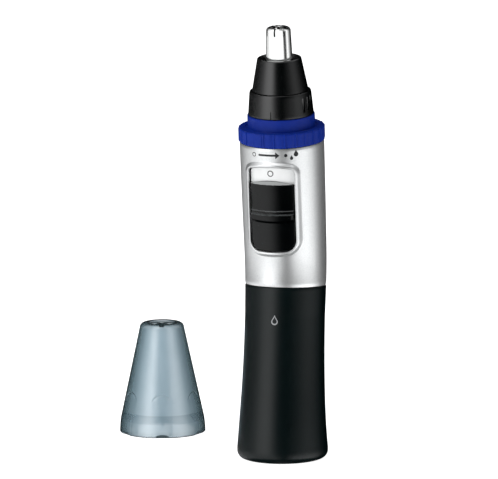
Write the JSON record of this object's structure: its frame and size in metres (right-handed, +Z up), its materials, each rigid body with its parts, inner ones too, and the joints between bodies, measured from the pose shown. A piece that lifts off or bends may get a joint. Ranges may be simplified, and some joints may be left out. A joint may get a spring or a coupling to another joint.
{
  "type": "nose hair trimmer",
  "caption": "Battery nose and ear hair trimmer with a kinked round body, thumb switch, ribbed wash ring, slotted rotary blade and a translucent protective cap standing beside it.",
  "frame": {"origin": "centre of the trimmer's base, on the surface it stands on", "axes": "+Z up from the base to the blade, -Y to the side the switch faces, +X to the right of a viewer who faces the switch"},
  "size_m": [0.0794, 0.059, 0.1386],
  "materials": {
    "black_soft_paint": "satin",
    "black_plastic": "satin",
    "silver_paint": "satin metallic paint on plastic",
    "blue_plastic": "satin",
    "white_label": "satin",
    "grey_plastic": "matte",
    "seal_rubber": "matte",
    "steel": "polished",
    "brass": "plain",
    "copper": "enamelled copper wire",
    "ferrite": "plain ferrite",
    "cell_wrap": "printed wrap",
    "smoke_plastic": "frosted translucent"
  },
  "bodies": {
    "base": {"battery_cover": "black_soft_paint", "negative_plate": "steel", "negative_spring": "steel"},
    "main_body": {"inner_frame": "grey_plastic", "frame_seal": "seal_rubber", "battery": "cell_wrap", "positive_contact": "brass", "negative_strip": "brass", "upper_housing": "silver_paint", "switch_label": "white_label", "switch_gasket": "seal_rubber", "battery_leaf": "brass", "motor_leaf": "brass", "motor_can": "steel", "magnet_left": "ferrite", "magnet_right": "ferrite", "motor_end_cap": "grey_plastic", "motor_terminal_left": "brass", "motor_terminal_right": "brass", "motor_mount": "grey_plastic", "body_collar": "grey_plastic", "collar_screw_left": "steel", "collar_screw_right": "steel", "ring_seal": "seal_rubber", "shaft_seal": "seal_rubber"},
    "switch": {"switch_slider": "black_plastic", "switch_bridge": "brass"},
    "drive": {"motor_shaft": "steel", "armature": "copper", "commutator": "brass", "drive_coupler": "grey_plastic", "drive_spindle": "steel"},
    "wash_ring": {"wash_ring": "blue_plastic"},
    "head": {"head_collar": "black_plastic", "head_cone": "black_plastic", "blade_retainer": "black_plastic", "outer_blade": "steel", "blade_spring": "steel"},
    "cutter": {"blade_hub": "grey_plastic", "inner_blade": "steel"},
    "cap": {"protective_cap": "smoke_plastic"}
  },
  "joints": [
    {"name": "cover_pull", "type": "slide", "parent": "base", "child": "main_body", "axis": [0, 0.0915, 0.9958], "range_m": [0, 0.055]},
    {"name": "switch_slide", "type": "slide", "parent": "main_body", "child": "switch", "axis": [0, -0.0854, 0.9963], "range_m": [0, 0.0042]},
    {"name": "wash_ring_turn", "type": "hinge", "parent": "main_body", "child": "wash_ring", "pos_m": [0, 0.00087, 0.10437], "axis": [0, -0.0854, 0.9963], "range_deg": [0, 46]},
    {"name": "head_lift", "type": "slide", "parent": "main_body", "child": "head", "axis": [0, -0.0854, 0.9963], "range_m": [0, 0.03]},
    {"name": "motor_spin", "type": "hinge", "parent": "main_body", "child": "drive", "pos_m": [0, 0.00328, 0.07628], "axis": [0, -0.0854, 0.9963], "continuous": true},
    {"name": "blade_spin", "type": "hinge", "parent": "head", "child": "cutter", "pos_m": [0, -0.00167, 0.13397], "axis": [0, -0.0854, 0.9963], "continuous": true},
    {"name": "cap_lift", "type": "slide", "parent": "base", "child": "cap", "axis": [0, 0, 1], "range_m": [0, 0.12]}
  ],
  "couplings": [
    {"joint": "blade_spin", "follows": "motor_spin", "ratio": 1}
  ]
}
